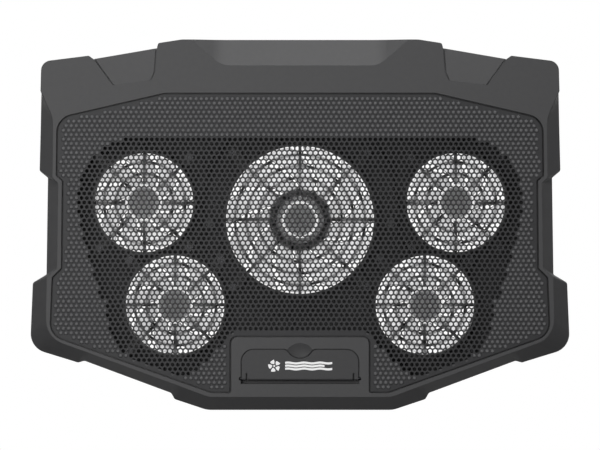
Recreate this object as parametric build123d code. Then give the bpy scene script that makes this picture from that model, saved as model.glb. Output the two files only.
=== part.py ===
"""Laptop cooling pad: a grille-topped stand with five fans, a flip-up laptop stop and two folding legs.

+X runs along the pad, +Y to its rear edge and +Z up. The origin is on the table, under the pad's middle.
"""
from build123d import *
import os
from math import atan2, cos, degrees, hypot, radians, sin, sqrt, tan

# Overall size and the levels of the two covers
half_length = 210.4
half_depth = 144.15
foot_stand = 2.0
floor_thickness = 2.0
split_level = 9.0
facet_level = 24.0
deck_level = 34.0
wall = 2.2
bottom_bevel = 3.0
deck_edge = 0.5

# Grille sheet and the ledge that it lies on
sheet_thickness = 0.8
sheet_sink = 0.6
sheet_gap = 1.1
ledge_width = 4.0
ledge_thickness = 3.5
ledge_overlap = 5.0
gutter_width = 1.6
gutter_depth = 2.6
rim_edge = 0.4
sheet_post_x = 70.5
sheet_post_y = 1.8
sheet_post_radius = 3.5
sheet_post_gap = 0.3
sheet_rib_y = -18.6
sheet_rib_length = 19.0
sheet_rib_thickness = 1.6

# Rear ramps and the centre scoop, cut into the deck's rear edge
ramp_drop = 4.0
ramp_run = 24.0
ramp_groove_width = 1.3
ramp_groove_depth = 1.4
scoop_start = 20.2
scoop_half_flat = 61.2
scoop_bend = 40.0
scoop_angle = 21.5
scoop_rise_angle = 17.7

# Fans: air ways, frames, and the distance of each mounting screw from the air way's edge
large_bore = 58.1
small_bore = 38.8
tip_gap = 1.4
fan_ring_wall = 1.8
fan_height = 15.0
fan_standoff = 2.0
strut_width = 2.4
strut_thickness = 2.0
lug_radius = 4.0
lug_thickness = 3.0
large_hole_reach = 16.15
small_hole_reach = 11.76
rear_fan_from_side = 88.3
front_fan_from_side = 112.5
rear_fan_y = 17.5
front_fan_y = -62.7
centre_fan_y = 4.1

# Motor, the same in every fan
motor_base_radius = 12.4
bearing_tube_radius = 4.0
bearing_radius = 3.0
bearing_length = 8.5
shaft_radius = 1.5
shaft_clearance = 0.03
press_clearance = 0.01
stator_radius = 10.0
stator_poles = 6
stator_height = 5.0
stator_lift = 1.5
stator_core_wall = 2.5
pole_width = 2.6
shoe_width = 7.6
shoe_thickness = 1.3
magnet_height = 7.0
magnet_gap = 0.5
magnet_thickness = 1.2
yoke_thickness = 0.7
hub_wall = 1.9
hub_top = 1.5
rotor_lift = 1.0
blade_thickness = 1.3
blade_root_overlap = 0.8
blade_end_room = 1.0
blade_gap = 3.4
blade_gap_growth = 3.4
large_blades = 11
small_blades = 9
large_sweep = 1.0
small_sweep = 1.34
large_gap_radius = 51.3
small_gap_radius = 32.0
large_flange = 4.0
flange_wall = 1.5

# Guards under the fans: ring radii and the solid disc in the middle
large_guard = (24.5, 32.9, 42.2, 51.1)
small_guard = (12.4, 22.7, 32.0)
guard_ring_width = 2.0
guard_spokes = 8

# Laptop stop: a flap in a pocket at the front of the deck
flap_half_width = 45.3
flap_length = 22.5
flap_axis_from_front = 24.75
flap_thickness = 2.8
flap_axis_depth = 1.65
flap_barrel_radius = 1.5
flap_corner = 9.3
flap_gap = 0.8
flap_under_gap = 0.6
flap_flush = 0.1
flap_slot_room = 4.0
flap_trench_depth = 4.0
flap_ear_relief = 1.5
flap_ear_width = 3.1
flap_ear_slot = 1.3
flap_ear_depth = 4.4
flap_pin_radius = 0.75
flap_pin_clearance = 0.05
flap_pin_bury = 3.0
notch_radius = 11.0
notch_from_back = 4.0
notch_fillet = 5.0
dish_radius = 11.9
dish_depth = 2.4
dish_from_back = -6.6
tongue_side = 8.4
tongue_from_back = 9.8

# Folding legs under the rear edge
leg_x = 128.0
leg_width = 46.0
leg_length = 34.0
leg_thickness = 5.0
leg_axis_from_rear = 31.0
leg_side_gap = 0.6
leg_top_gap = 0.5
leg_flush = 0.4
leg_pocket_wall = 2.0
leg_pin_radius = 1.5
leg_pin_clearance = 0.05
leg_tip_depth = 4.0
leg_tip_round = 1.5
leg_groove_side = 8.0
leg_groove_tip = 9.0
leg_groove_hinge = 12.0
leg_groove_depth = 2.5
leg_finger_room = 9.0
leg_finger_side = 12.0
leg_finger_wall = 2.0

# Control panel, board and controls in the rear wall
panel_half_width = 40.0
panel_height = 13.6
panel_depth = 6.5
panel_rim = 1.2
panel_back = 1.5
panel_gap = 0.3
board_level = 9.4
board_thickness = 1.6
board_half_width = 42.0
board_depth = 32.0
board_gap = 0.6
board_post_side = 4.0
board_post_back = 9.0
usb_x = (-30.0, -13.0)
usb_width = 13.1
usb_height = 5.7
usb_length = 14.0
usb_wall = 0.4
usb_tongue = 1.8
usb_tongue_gap = 0.6
usb_tongue_side = 1.2
usb_tongue_sink = 3.0
usb_base = 2.0
usb_gap = 0.3
button_x = 3.5
button_width = 7.0
button_height = 5.0
button_travel = 1.0
button_stand = 2.4
button_reach = 1.5
button_gap = 0.3
switch_size = 7.0
switch_height = 8.0
switch_gap = 0.3
dial_x = 22.0
dial_radius = 5.0
dial_length = 3.8
dial_gap = 0.5
dial_flutes = 16
dial_stem_radius = 2.9
dial_stem_gap = 0.3
dial_bearing_gap = 0.05
pot_width = 10.0
pot_height = 11.0
pot_depth = 7.0
pot_axis = 5.4
pot_back = 1.5

# Screws, feet and leads
screw_radius = 1.25
screw_clearance = 0.35
screw_head_radius = 2.8
screw_head_height = 1.8
case_screw_seat = 4.0
case_screw_length = 13.0
case_boss_radius = 3.5
fan_screw_length = 6.0
standoff_radius = 3.5
standoff_floor = 0.8
foot_radius = 8.0
foot_seat = 0.8
lead_radius = 1.0
lead_level = 13.0
lead_bend = 6.0
plug_length = 6.0
plug_half_width = 2.8
plug_top = 2.2
plug_gap = 0.05

# Levels and places that follow from the values above
floor_level = foot_stand
floor_top = floor_level + floor_thickness
ceiling = deck_level - wall
sheet_top = deck_level - sheet_sink
sheet_bottom = sheet_top - sheet_thickness
fan_bottom = floor_top + fan_standoff
rear_y = half_depth
front_y = -half_depth
rear_fan_x = half_length - rear_fan_from_side
front_fan_x = half_length - front_fan_from_side
flap_axis_y = front_y + flap_axis_from_front
flap_back = flap_axis_y + flap_length
tongue_half_width = flap_half_width + tongue_side
tongue_back = flap_back + tongue_from_back

# X and Y of each fan's axis, whether it is the large one, and the angle of its first blade gap
FANS = {
    "centre": (0.0, centre_fan_y, True, 22.0),
    "rear_left": (-rear_fan_x, rear_fan_y, False, 34.0),
    "rear_right": (rear_fan_x, rear_fan_y, False, 3.0),
    "front_left": (-front_fan_x, front_fan_y, False, 35.0),
    "front_right": (front_fan_x, front_fan_y, False, 35.0),
}


def side(inward):
    """X of a place that far in from the pad's left-hand extreme."""
    return inward - half_length


def mirrored(half):
    """The whole ring of corners from the left half's, which run from the rear edge to the front."""
    return half + [(-x, y, r) for x, y, r in reversed(half)]


# Outer outline, as (x, y, corner radius). Radius 0 marks a point that only divides an edge,
# so that the deck edge above has as many edges as the outline.
OUTLINE = mirrored([
    (side(118.4), rear_y, 20.0),
    (side(100.3), rear_y - 2.8, 2.0),
    (side(99.2), rear_y - 6.6, 0.8),
    (side(49.8), rear_y - 15.1, 0.8),
    (side(46.3), rear_y - 12.6, 2.0),
    (side(9.4), rear_y - 17.2, 8.0),
    (side(8.8), rear_y - 40.1, 0.0),
    (side(8.55), rear_y - 52.0, 0.0),
    (side(8.3), rear_y - 66.0, 0.0),
    (side(7.4), 42.2, 3.0),
    (side(13.9), 36.8, 1.5),
    (side(12.8), -38.6, 1.5),
    (side(2.1), -45.0, 3.0),
    (side(0.0), front_y + 48.4, 15.0),
    (side(37.4), front_y + 36.9, 3.0),
    (side(42.4), front_y + 38.3, 3.0),
    (-100.4, front_y + 13.2, 3.0),
    (-97.8, front_y + 8.4, 3.0),
    (-72.6, front_y, 20.0),
])

# Edge of the flat deck above it. It leaves the outline a third of the way along the side.
DECK = mirrored([
    (side(118.4), rear_y, 20.0),
    (side(100.3), rear_y - 2.8, 2.0),
    (side(99.2), rear_y - 6.6, 0.8),
    (side(49.8), rear_y - 15.1, 0.8),
    (side(46.3), rear_y - 12.6, 2.0),
    (side(9.4), rear_y - 17.2, 8.0),
    (side(8.8), rear_y - 40.1, 0.0),
    (side(18.2), rear_y - 61.0, 24.0),
    (side(17.7), 36.6, 1.5),
    (side(22.2), 32.5, 1.5),
    (side(21.2), -33.5, 1.5),
    (side(13.3), -40.5, 2.0),
    (side(12.3), front_y + 56.7, 20.0),
    (side(41.6), front_y + 46.0, 0.0),
    (side(43.0), front_y + 45.5, 0.0),
    (side(46.2), front_y + 44.3, 0.0),
    (side(47.6), front_y + 43.8, 0.0),
    (-97.0, front_y + 19.8, 0.0),
    (-95.6, front_y + 19.3, 0.0),
    (-92.4, front_y + 18.1, 0.0),
    (-91.0, front_y + 17.6, 0.0),
    (-71.0, front_y + 10.2, 20.0),
])

# Edge of the opening for the grille sheet, which runs round the tongue that holds the laptop stop.
SEAM = mirrored([
    (-105.0, rear_y - 41.75, 8.0),
    (side(21.5), rear_y - 61.1, 14.0),
    (side(21.0), 38.3, 1.5),
    (side(25.7), 34.1, 1.5),
    (side(25.0), -33.7, 1.5),
    (side(17.8), -40.8, 2.0),
    (side(15.9), front_y + 58.4, 14.0),
    (-68.8, front_y + 13.6, 10.0),
    (-tongue_half_width, front_y + 13.6, 2.0),
    (-tongue_half_width, tongue_back, 5.0),
])

# Plan of the left-hand rear ramp. The first edge after the outer one is where its slope begins.
RAMP = [
    (side(44.4), rear_y - 7.75), (side(64.6), rear_y - 35.45), (side(95.2), rear_y - 31.65),
    (side(98.0), rear_y - 25.35), (side(100.4), rear_y + 7.85), (side(44.4), rear_y + 7.85),
]

CASE_SCREWS = [
    (-100.0, rear_y - 22.0), (side(32.0), rear_y - 36.0), (side(21.4), 0.0),
    (side(15.4), front_y + 60.0), (-86.0, front_y + 14.2), (-62.0, rear_y - 32.0),
]
CASE_SCREWS += [(-x, y) for x, y in CASE_SCREWS] + [(0.0, front_y + 12.6)]

FEET = [(side(38.4), front_y + 64.0), (-70.0, front_y + 22.0), (side(28.0), rear_y - 53.0)]
FEET += [(-x, y) for x, y in FEET]


def inset(points, amount):
    """The ring of corners moved inwards by one distance all round, keeping its number of corners."""
    moved = []
    for i, (x, y, r) in enumerate(points):
        x0, y0, _ = points[i - 1]
        x1, y1, _ = points[(i + 1) % len(points)]
        a = atan2(y - y0, x - x0)
        b = atan2(y1 - y, x1 - x)
        half_turn = (b - a) / 2
        half_turn = atan2(sin(half_turn * 2), cos(half_turn * 2)) / 2
        middle = a + half_turn
        reach = amount / cos(half_turn)
        if r > 0:
            r = max(r - amount if half_turn > 0 else r + amount, 0.4)
        moved.append((x - reach * sin(middle), y + reach * cos(middle), r))
    return moved


def ring(points, level):
    """A closed wire at one level through corners, each rounded by its own radius."""
    places = [(x, y, level) for x, y, _ in points]
    return FilletPolyline(*places, radius=[r for _, _, r in points], close=True)


def plate(points, low, high):
    """A flat-topped solid between two levels, with corners rounded as the ring says."""
    return extrude(make_face(ring(points, low).edges()), amount=high - low, dir=(0, 0, 1))


def pillar(x, y, radius, low, high):
    """An upright cylinder."""
    return Pos(x, y, (low + high) / 2) * Cylinder(radius, high - low)


def block(x0, x1, y0, y1, z0, z1):
    """A box between two corners."""
    return Pos((x0 + x1) / 2, (y0 + y1) / 2, (z0 + z1) / 2) * Box(x1 - x0, y1 - y0, z1 - z0)


def both_sides(shape):
    """A solid and its mirror image across the pad's middle."""
    return [shape, mirror(shape, about=Plane.YZ)]


def ramp_cut(lower, wider, grooves=False):
    """The space over one rear ramp, made deeper and wider by a wall for the room kept free under it.

    With grooves it is only the narrow slots down the ramp's two sides.
    """
    (ax, ay), (bx, by) = RAMP[1], RAMP[2]
    along = Vector(bx - ax, by - ay, 0).normalized()
    back = Vector(-along.Y, along.X, 0)
    fall = back * ramp_run - Vector(0, 0, ramp_drop)
    slope = Plane(origin=(ax, ay, deck_level - lower), x_dir=along, z_dir=along.cross(fall))
    over = slope * Box(400, 400, 60, align=(Align.CENTER, Align.CENTER, Align.MIN))
    plan = make_face(Polyline(*RAMP, close=True))
    if wider:
        plan = offset(plan, wider)
    if grooves:
        step = along * ramp_groove_width
        plan = (plan - Pos(step) * plan) + (plan - Pos(-step) * plan)
    return extrude(plan, amount=60, dir=(0, 0, 1)) & over


def scoop_cut(lower):
    """The space over the rear scoop: a flat channel with raised ends, falling towards the rear."""
    fall = Vector(0, cos(radians(scoop_angle)), -sin(radians(scoop_angle)))
    section = Plane(origin=(0, rear_y - scoop_start, deck_level), x_dir=(-1, 0, 0), z_dir=fall)
    rise = 60 * tan(radians(scoop_rise_angle))
    reach = scoop_half_flat + 60
    floor = FilletPolyline(
        (-reach, rise - lower), (-scoop_half_flat, -lower), (scoop_half_flat, -lower), (reach, rise - lower),
        radius=scoop_bend,
    )
    top = Polyline((reach, rise - lower), (reach, 60), (-reach, 60), (-reach, rise - lower))
    channel = section * make_face(floor.edges() + top.edges())
    return extrude(channel, amount=80, both=True)


def flap_plan(grow):
    """Plan of the laptop stop: rounded rear corners and a finger notch, grown by a gap for its pocket."""
    half, back, front = flap_half_width + grow, flap_back + grow, flap_axis_y
    body = make_face(FilletPolyline(
        (-half, front), (-half, back), (half, back), (half, front),
        radius=[flap_corner + grow, flap_corner + grow],
    ).edges() + Polyline((half, front), (-half, front)).edges())
    body -= Pos(0, flap_back + notch_from_back) * Circle(notch_radius - grow)
    corners = body.vertices().filter_by(lambda v: abs(v.Y - back) < 0.01 and abs(v.X) < notch_radius + 1)
    return fillet(corners, notch_fillet)


def make_top_cover():
    """Bezel, sloping sides and tongue in one shell, open below and under the grille."""
    outer = Solid.make_loft(
        [ring(OUTLINE, split_level), ring(OUTLINE, facet_level), ring(DECK, deck_level - deck_edge),
         ring(inset(DECK, deck_edge), deck_level)], ruled=True)
    inner_outline, inner_deck = inset(OUTLINE, wall), inset(DECK, wall)
    cavity = Part() + Solid.make_loft(
        [ring(inner_outline, split_level - 1), ring(inner_outline, facet_level - 1),
         ring(inner_deck, ceiling)], ruled=True)
    ramps, ramp_rooms = both_sides(ramp_cut(0, 0)), both_sides(ramp_cut(wall, wall))
    grooves = both_sides(ramp_cut(ramp_groove_depth, 0, grooves=True))
    cavity -= [scoop_cut(wall), *ramp_rooms]

    axis_z = deck_level - flap_flush - flap_axis_depth
    pocket_floor = axis_z - flap_barrel_radius - flap_under_gap
    pocket_side = flap_half_width + flap_gap
    bosses = [pillar(x, y, case_boss_radius, split_level, ceiling + 1) for x, y in CASE_SCREWS]
    ledge = plate(inset(SEAM, -ledge_overlap), sheet_bottom - ledge_thickness, deck_level)
    slot_front = flap_axis_y - flap_slot_room
    tub = block(-pocket_side - wall, pocket_side + wall, slot_front - wall, flap_back + flap_gap + wall,
                pocket_floor - wall, deck_level)
    tub += block(-pocket_side - wall, pocket_side + wall, slot_front - wall, flap_axis_y + wall,
                 pocket_floor - flap_trench_depth - wall, pocket_floor)
    tub += block(-dish_radius, dish_radius, flap_back, tongue_back - wall, pocket_floor, deck_level)

    cover = Part() + outer - cavity
    window = plate(inset(SEAM, ledge_width), split_level, deck_level + 1)
    cover += (Part() + [ledge, *bosses]) & outer
    cover -= window
    cover += tub
    gutter_floor = sheet_bottom - gutter_depth
    seat = plate(SEAM, gutter_floor, deck_level + 1)
    seat -= plate(inset(SEAM, gutter_width), gutter_floor - 1, sheet_bottom)
    rim = Solid.make_loft(
        [ring(SEAM, deck_level - rim_edge),
         ring(inset(SEAM, -2 * rim_edge), deck_level + rim_edge)], ruled=True)
    cover -= [seat, rim, scoop_cut(0), *ramps, *grooves]

    pocket = extrude(flap_plan(flap_gap), amount=10, dir=(0, 0, 1))
    pocket += block(-pocket_side, pocket_side, slot_front, flap_axis_y + 1, 0, 10)
    pocket += block(-pocket_side, pocket_side, slot_front, flap_axis_y, -flap_trench_depth, 1)
    pocket = Pos(0, 0, pocket_floor) * pocket
    ears = [pillar(x, flap_axis_y, flap_ear_relief, pocket_floor, deck_level + 1)
            for x in (-pocket_side, pocket_side)]
    dish_ball = (dish_radius**2 + dish_depth**2) / (2 * dish_depth)
    dish = Pos(0, flap_back + dish_from_back, deck_level - dish_depth + dish_ball) * Sphere(dish_ball)
    cover -= [pocket, dish, *ears]
    cover -= flap_pins(flap_pin_clearance)

    top = rear_y + 1
    cover -= block(-panel_half_width - panel_gap, panel_half_width + panel_gap, rear_y - panel_depth - 2, top,
                   split_level - 1, split_level + panel_height + 2 * panel_gap)
    cover -= [pillar(x, y, screw_radius + press_clearance, split_level - 1, split_level + case_screw_length)
              for x, y in CASE_SCREWS]
    return cover


def flap_pins(clearance):
    """The two steel pins that the laptop stop turns on."""
    axis_z = deck_level - flap_flush - flap_axis_depth
    inner = flap_half_width - flap_ear_width + 0.3
    length = flap_half_width + flap_gap + flap_pin_bury - inner
    pin = Pos(inner + length / 2, flap_axis_y, axis_z) * Rot(0, 90, 0) * Cylinder(
        flap_pin_radius + clearance, length)
    return both_sides(pin)


def make_stop_flap():
    """Flat flap with a hinge barrel along its front edge and a springy ear at each end."""
    top = deck_level - flap_flush
    axis_z = top - flap_axis_depth
    flap = Pos(0, 0, top - flap_thickness) * extrude(flap_plan(0), amount=flap_thickness, dir=(0, 0, 1))
    flap += Pos(0, flap_axis_y, axis_z) * Rot(0, 90, 0) * Cylinder(flap_barrel_radius, 2 * flap_half_width)
    slot_x = flap_half_width - flap_ear_width - flap_ear_slot / 2
    for x in (-slot_x, slot_x):
        flap -= block(x - flap_ear_slot / 2, x + flap_ear_slot / 2, flap_axis_y - 3,
                      flap_axis_y + flap_ear_depth, top - 6, top + 1)
    return flap - flap_pins(flap_pin_clearance)


def hole_distance(large):
    """Distance of a fan's mounting screws from its axis."""
    return large_bore + large_hole_reach if large else small_bore + small_hole_reach


def fan_holes(name):
    """Centres of a fan's four mounting screws."""
    x, y, large, _ = FANS[name]
    half = hole_distance(large) / sqrt(2)
    return [(x + i * half, y + j * half) for i in (-1, 1) for j in (-1, 1)]


def leg_box(sign, grow):
    """X and Y limits of one folded leg, with a gap all round when it is grown for the pocket."""
    low, high = sign * leg_x - leg_width / 2 - grow, sign * leg_x + leg_width / 2 + grow
    axis_y = rear_y - leg_axis_from_rear
    return low, high, axis_y - leg_length - grow, axis_y + leg_thickness / 2 + grow


def make_bottom_cover():
    """Tray with a bevelled edge, five fan guards, leg pockets, screw bosses and fan standoffs."""
    tray = Part() + Solid.make_loft(
        [ring(inset(OUTLINE, bottom_bevel), floor_level), ring(OUTLINE, floor_level + bottom_bevel),
         ring(OUTLINE, split_level)], ruled=True)
    tray -= plate(inset(OUTLINE, wall), floor_top, split_level + 1)

    guards = Sketch()
    holes = Sketch()
    for x, y, large, _ in FANS.values():
        bore = large_bore if large else small_bore
        disc, *rings = large_guard if large else small_guard
        guard = Sketch() + Circle(disc)
        for radius in rings:
            guard += Circle(radius + guard_ring_width / 2) - Circle(radius - guard_ring_width / 2)
        for i in range(guard_spokes // 2):
            guard += Rot(0, 0, i * 360 / guard_spokes) * Rectangle(2 * bore, strut_width)
        holes += Pos(x, y) * (Circle(bore) - (guard & Circle(bore)))
    tray -= Pos(0, 0, floor_level - 1) * extrude(holes, amount=floor_thickness + 2, dir=(0, 0, 1))

    pocket_top = floor_level + leg_flush + leg_thickness + leg_top_gap
    for sign in (-1, 1):
        x0, x1, y0, y1 = leg_box(sign, leg_side_gap)
        tray += block(x0 - leg_pocket_wall, x1 + leg_pocket_wall, y0 - leg_pocket_wall, y1 + leg_pocket_wall,
                      floor_level, pocket_top + leg_pocket_wall)
        tray -= block(x0, x1, y0, y1, floor_level - 1, pocket_top)
        room_x0, room_x1, room_y = x0 + leg_finger_side, x1 - leg_finger_side, y0 - leg_finger_room
        room_top = floor_level + leg_thickness
        tray += block(room_x0 - leg_finger_wall, room_x1 + leg_finger_wall, room_y - leg_finger_wall, y0,
                      floor_level, room_top + leg_finger_wall)
        tray -= block(room_x0, room_x1, room_y, y0 + 1, floor_level - 1, room_top)
    tray -= leg_pins(press_clearance)

    seat = floor_level + case_screw_seat
    head, shank = screw_head_radius + screw_clearance, screw_radius + screw_clearance
    tray += [pillar(x, y, case_boss_radius + 1, floor_level, split_level) for x, y in CASE_SCREWS]
    tray -= [pillar(x, y, head, floor_level - 1, seat) for x, y in CASE_SCREWS]
    tray -= [pillar(x, y, shank, floor_level, split_level + 1) for x, y in CASE_SCREWS]

    fan_posts = [place for name in FANS for place in fan_holes(name)]
    tray += [pillar(x, y, standoff_radius, floor_level, fan_bottom) for x, y in fan_posts]
    tray -= [pillar(x, y, screw_radius + press_clearance, floor_level + standoff_floor, fan_bottom + 1)
             for x, y in fan_posts]

    tray += [pillar(x, y, case_boss_radius, floor_level, board_level) for x, y in board_posts()]
    tray -= [pillar(x, y, foot_radius + press_clearance, floor_level - 1, floor_level + foot_seat)
             for x, y in FEET]
    for x in (-sheet_post_x, sheet_post_x):
        tray += Pos(x, sheet_rib_y, (floor_level + split_level) / 2) * Box(
            sheet_rib_length, sheet_rib_thickness, split_level - floor_level)
        tray += pillar(x, sheet_post_y, sheet_post_radius, floor_level, sheet_bottom - sheet_post_gap)
    return tray


def board_posts():
    """Places where the control board rests on the tray."""
    x = board_half_width - board_post_side
    rows = (board_back() - board_depth + board_post_side, board_back() - board_post_back)
    return [(sign * x, y) for sign in (-1, 1) for y in rows]


def leg_pins(clearance):
    """Hinge pins of the two folding legs."""
    pins = []
    for sign in (-1, 1):
        x0, x1, _, _ = leg_box(sign, leg_side_gap + leg_pocket_wall - 0.4)
        axis_z = floor_level + leg_flush + leg_thickness / 2
        pins.append(Pos((x0 + x1) / 2, rear_y - leg_axis_from_rear, axis_z) * Rot(0, 90, 0) * Cylinder(
            leg_pin_radius + clearance, x1 - x0))
    return pins


def make_leg(sign):
    """One folding leg: a plate with a round hinge end, a finger groove and a shoulder for its rubber tip."""
    x0, x1, y0, y1 = leg_box(sign, 0)
    low = floor_level + leg_flush
    leg = block(x0, x1, y0 + leg_tip_depth, y1 - leg_thickness / 2, low, low + leg_thickness)
    leg += Pos((x0 + x1) / 2, y1 - leg_thickness / 2, low + leg_thickness / 2) * Rot(0, 90, 0) * Cylinder(
        leg_thickness / 2, leg_width)
    leg -= block(x0 + leg_groove_side, x1 - leg_groove_side, y0 + leg_groove_tip, y1 - leg_groove_hinge,
                 low - 1, low + leg_groove_depth)
    axis_y = rear_y - leg_axis_from_rear
    return leg - Pos((x0 + x1) / 2, axis_y, low + leg_thickness / 2) * Rot(0, 90, 0) * Cylinder(
        leg_pin_radius + leg_pin_clearance, leg_width + 2)


def make_leg_tip(sign):
    """Rubber tip across a leg's free end."""
    x0, x1, y0, _ = leg_box(sign, 0)
    low = floor_level + leg_flush
    tip = block(x0, x1, y0, y0 + leg_tip_depth, low, low + leg_thickness)
    return fillet(tip.edges().filter_by(Axis.X).group_by(Axis.Y)[0], leg_tip_round)


def make_frame(name):
    """Fan frame: a ring with four screw lugs, four struts, the motor base and the bearing tube."""
    x, y, large, _ = FANS[name]
    bore = large_bore if large else small_bore
    reach = hole_distance(large)
    rim = Circle(bore + fan_ring_wall) - Circle(bore)
    frame = extrude(rim, amount=fan_height)
    lugs = Sketch()
    arm = Pos((bore + reach) / 2, 0) * Rectangle(reach - bore, 2 * lug_radius)
    arm += Pos(reach, 0) * Circle(lug_radius)
    for i in range(4):
        lugs += Rot(0, 0, 45 + 90 * i) * arm
    lugs = lugs - Circle(bore + fan_ring_wall / 2)
    frame += extrude(lugs, amount=lug_thickness)
    struts = Circle(motor_base_radius)
    for angle in (0, 90):
        struts += Rot(0, 0, angle) * Rectangle(2 * bore + fan_ring_wall, strut_width)
    frame += extrude(struts, amount=strut_thickness)
    frame += pillar(0, 0, bearing_tube_radius, 0, strut_thickness + bearing_length)
    frame -= pillar(0, 0, bearing_radius, strut_thickness, strut_thickness + bearing_length + 1)
    hole = pillar(reach, 0, screw_radius + screw_clearance, -1, lug_thickness + 1)
    frame -= [Rot(0, 0, 45 + 90 * i) * hole for i in range(4)]
    return Pos(x, y, fan_bottom) * frame


def make_bearing():
    """Sleeve bearing in the frame's tube."""
    low = strut_thickness
    sleeve = pillar(0, 0, bearing_radius - press_clearance, low, low + bearing_length)
    return sleeve - pillar(0, 0, shaft_radius + shaft_clearance, low - 1, low + bearing_length + 1)


def make_stator():
    """Wound stator: an iron core with its poles, pressed on the bearing tube."""
    core_radius = bearing_tube_radius + stator_core_wall
    core = Circle(core_radius) - Circle(bearing_tube_radius + press_clearance)
    pole_length = stator_radius - core_radius + 1
    pole = Pos(stator_radius - pole_length / 2, 0) * Rectangle(pole_length, pole_width)
    shoe = Circle(stator_radius) - Circle(stator_radius - shoe_thickness)
    shoe &= Pos(stator_radius, 0) * Rectangle(4, shoe_width)
    core += [Rot(0, 0, i * 360 / stator_poles) * (pole + shoe) for i in range(stator_poles)]
    return Pos(0, 0, strut_thickness + stator_lift) * extrude(core, amount=stator_height)


def make_magnet():
    """Ring magnet glued inside the yoke."""
    inner = stator_radius + magnet_gap
    band = Circle(inner + magnet_thickness) - Circle(inner)
    return Pos(0, 0, strut_thickness + rotor_lift) * extrude(band, amount=magnet_height)


def make_yoke():
    """Steel cup that closes the magnet's field and carries the shaft."""
    inner = stator_radius + magnet_gap + magnet_thickness + press_clearance
    low, top = strut_thickness + rotor_lift, yoke_top()
    cup = pillar(0, 0, inner + yoke_thickness, low, top)
    cup -= pillar(0, 0, inner, low - 1, top - yoke_thickness)
    return cup - pillar(0, 0, shaft_radius + press_clearance, low, top + 1)


def yoke_top():
    """Level of the yoke's upper face over the frame's foot."""
    return strut_thickness + bearing_length + 1.2 + yoke_thickness


def make_shaft():
    """Rotor shaft, from just over the motor base up into the yoke."""
    return pillar(0, 0, shaft_radius, strut_thickness + 0.3, yoke_top())


def make_impeller(large, phase):
    """Hub cup with swept, pitched blades trimmed to a round tip."""
    bore = large_bore if large else small_bore
    tip = bore - tip_gap
    blades = large_blades if large else small_blades
    sweep = large_sweep if large else small_sweep
    reference = large_gap_radius if large else small_gap_radius
    inner = stator_radius + magnet_gap + magnet_thickness + yoke_thickness + 2 * press_clearance
    hub_radius = inner + hub_wall
    low, top = strut_thickness + rotor_lift, yoke_top() + press_clearance + hub_top
    root = hub_radius + (large_flange if large else 0.0)
    rise = top - low - 3 * blade_end_room
    sections = []
    for radius in (root - blade_root_overlap, (root + tip) / 2, tip + 2.5):
        angle = phase + 180 / blades + sweep * (radius - reference)
        gap = blade_gap + blade_gap_growth * (radius - root) / (tip - root)
        chord = 2 * radius * sin(radians(180 / blades)) - gap
        pitch = degrees(atan2(rise, chord))
        length = hypot(chord, rise)
        place = Rot(0, 0, angle) * Pos(radius, 0, (low + top) / 2 - 0.4 * blade_end_room)
        sections.append(place * (Plane.YZ * Rot(0, 0, -pitch) * Rectangle(length, blade_thickness)))
    blade = loft(sections, ruled=True) & pillar(0, 0, tip, low - 5, top + 5)
    cup = pillar(0, 0, hub_radius, low, top)
    if large:
        cup += pillar(0, 0, root, low, top - hub_top - 2.0)
        cup -= pillar(0, 0, root - flange_wall, low - 1, top - hub_top - 2.0 - flange_wall) - pillar(
            0, 0, hub_radius, low - 1, top)
    rotor = cup + [Rot(0, 0, i * 360 / blades) * blade for i in range(blades)]
    rotor -= pillar(0, 0, inner, low - 1, yoke_top() + press_clearance)
    return rotor


def make_sheet():
    """Grille sheet, lying on the ledge; its punched holes belong to the finished look."""
    return plate(inset(SEAM, sheet_gap), sheet_bottom, sheet_top)


def panel_levels():
    """Lower and upper level of the control panel."""
    low = split_level + panel_gap
    return low, low + panel_height


def dial_level():
    """Level of the dial's axis, set by the potentiometer on the board."""
    return board_level + board_thickness + pot_axis


def control_panel():
    """Dished panel in the rear wall, with openings for the sockets, the button and the dial's stem."""
    low, high = panel_levels()
    back = rear_y - panel_depth
    panel = block(-panel_half_width, panel_half_width, back, rear_y - 0.2, low, high)
    panel -= block(-panel_half_width + panel_rim, panel_half_width - panel_rim, back + panel_back, rear_y + 1,
                   low + panel_rim, high - panel_rim)
    top = board_level + board_thickness
    for x in usb_x:
        usb_side = usb_width / 2 + usb_gap
        panel -= block(x - usb_side, x + usb_side, back - 1, back + panel_back + 1,
                       top - usb_gap, top + usb_height + usb_gap)
    level = dial_level()
    button_side, button_rise = button_width / 2 + button_gap, button_height / 2 + button_gap
    panel -= block(button_x - button_side, button_x + button_side, back - 1, back + panel_back + 1,
                   level - button_rise, level + button_rise)
    panel -= Pos(dial_x, back, level) * Rot(90, 0, 0) * Cylinder(dial_stem_radius + dial_stem_gap, 10)
    return panel


def board_back():
    """Y of the control board's rear edge."""
    return rear_y - panel_depth - board_gap


def control_board():
    """Circuit board behind the panel."""
    board = block(-board_half_width, board_half_width, board_back() - board_depth, board_back(), board_level,
                  board_level + board_thickness)
    return fillet(board.edges().filter_by(Axis.Z), 2.0)


def usb_sockets():
    """Two sockets: a folded steel shell round a contact tongue, open to the rear."""
    low = board_level + board_thickness
    back = rear_y - panel_depth + panel_back - 0.2
    sockets = []
    for x in usb_x:
        half, room, tongue = usb_width / 2, usb_width / 2 - usb_wall, usb_width / 2 - usb_tongue_side
        tongue_top = low + usb_height - usb_wall - usb_tongue_gap
        socket = block(x - half, x + half, back - usb_length, back, low, low + usb_height)
        socket -= block(x - room, x + room, back - usb_length + usb_base, back + 1,
                        low + usb_wall, low + usb_height - usb_wall)
        socket += block(x - tongue, x + tongue, back - usb_length + 1, back - usb_tongue_sink,
                        tongue_top - usb_tongue, tongue_top)
        sockets.append(socket)
    return sockets


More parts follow.
